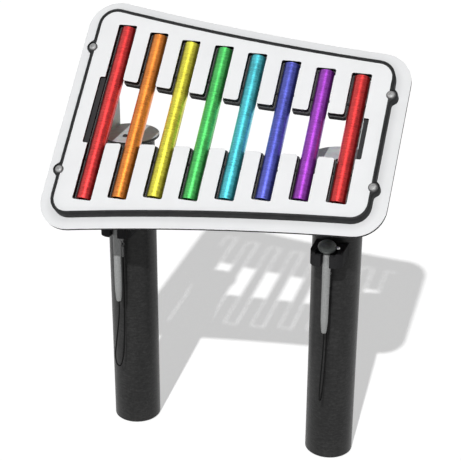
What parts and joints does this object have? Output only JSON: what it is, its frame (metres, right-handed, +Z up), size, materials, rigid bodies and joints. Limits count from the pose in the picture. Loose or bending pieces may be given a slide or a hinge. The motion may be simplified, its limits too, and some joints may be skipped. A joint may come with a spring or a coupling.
{
  "type": "tubular xylophone",
  "caption": "Free-standing outdoor xylophone: a tilted comb panel of tuned coloured tubes on round posts, with tethered beaters held in forks on the posts.",
  "frame": {"origin": "floor level, middle of the part's outline seen from above", "axes": "+Z up, +X towards the short tubes (the player's right), +Y away from the player"},
  "size_m": [0.851, 0.4345, 1.1212],
  "materials": {
    "white_sheet": "white polyethylene sheet with a black core, satin, edges cut",
    "black_sheet": "black polyethylene sheet, edges cut",
    "dark_rim": "dark grey moulded rim, satin",
    "post_black": "charcoal moulded post with a fine mottled grain",
    "fork_black": "black machined plastic",
    "zinc_steel": "grey zinc-plated steel, dull",
    "bolt_steel": "stainless fasteners, satin",
    "pin_rubber": "black rubber-covered pins",
    "handle_grey": "light grey moulded grip, matte",
    "head_grey": "grey-green rubber",
    "cord_black": "black braided or covered cord",
    "tube_red": "brushed and anodised red",
    "tube_orange": "brushed and anodised orange",
    "tube_yellow": "brushed and anodised yellow",
    "tube_green": "brushed and anodised green",
    "tube_cyan": "brushed and anodised turquoise",
    "tube_blue": "brushed and anodised blue",
    "tube_purple": "brushed and anodised purple"
  },
  "bodies": {
    "stand": {"base_plate": "white_sheet", "comb_sheet_lower": "black_sheet", "comb_sheet_upper": "white_sheet", "edge_band": "dark_rim", "panel_bolt_1": "bolt_steel", "panel_bolt_2": "bolt_steel", "panel_bolt_3": "bolt_steel", "panel_bolt_4": "bolt_steel", "tube_1": "tube_red", "tube_pin_1_back": "pin_rubber", "tube_pin_1_front": "pin_rubber", "tube_2": "tube_orange", "tube_pin_2_back": "pin_rubber", "tube_pin_2_front": "pin_rubber", "tube_3": "tube_yellow", "tube_pin_3_back": "pin_rubber", "tube_pin_3_front": "pin_rubber", "tube_4": "tube_green", "tube_pin_4_back": "pin_rubber", "tube_pin_4_front": "pin_rubber", "tube_5": "tube_cyan", "tube_pin_5_back": "pin_rubber", "tube_pin_5_front": "pin_rubber", "tube_6": "tube_blue", "tube_pin_6_back": "pin_rubber", "tube_pin_6_front": "pin_rubber", "tube_7": "tube_purple", "tube_pin_7_back": "pin_rubber", "tube_pin_7_front": "pin_rubber", "tube_8": "tube_red", "tube_pin_8_back": "pin_rubber", "tube_pin_8_front": "pin_rubber", "post_left": "post_black", "bracket_left": "zinc_steel", "post_screw_left": "bolt_steel", "flange_bolt_left_1": "bolt_steel", "flange_bolt_left_2": "bolt_steel", "beater_fork_left": "fork_black", "fork_screw_left": "bolt_steel", "tether_anchor_left": "bolt_steel", "tether_sleeve_left": "bolt_steel", "beater_tether_left": "cord_black", "post_right": "post_black", "bracket_right": "zinc_steel", "post_screw_right": "bolt_steel", "flange_bolt_right_1": "bolt_steel", "flange_bolt_right_2": "bolt_steel", "beater_fork_right": "fork_black", "fork_screw_right": "bolt_steel", "tether_anchor_right": "bolt_steel", "tether_sleeve_right": "bolt_steel", "beater_tether_right": "cord_black"},
    "beater_left": {"beater_head_left": "head_grey", "beater_handle_left": "handle_grey", "beater_pin_left": "bolt_steel"},
    "beater_right": {"beater_head_right": "head_grey", "beater_handle_right": "handle_grey", "beater_pin_right": "bolt_steel"}
  },
  "joints": [
    {"name": "beater_left_pull", "type": "slide", "parent": "stand", "child": "beater_left", "axis": [0, -1, 0], "range_m": [0, 0.12]},
    {"name": "beater_right_pull", "type": "slide", "parent": "stand", "child": "beater_right", "axis": [0, -1, 0], "range_m": [0, 0.12]}
  ]
}
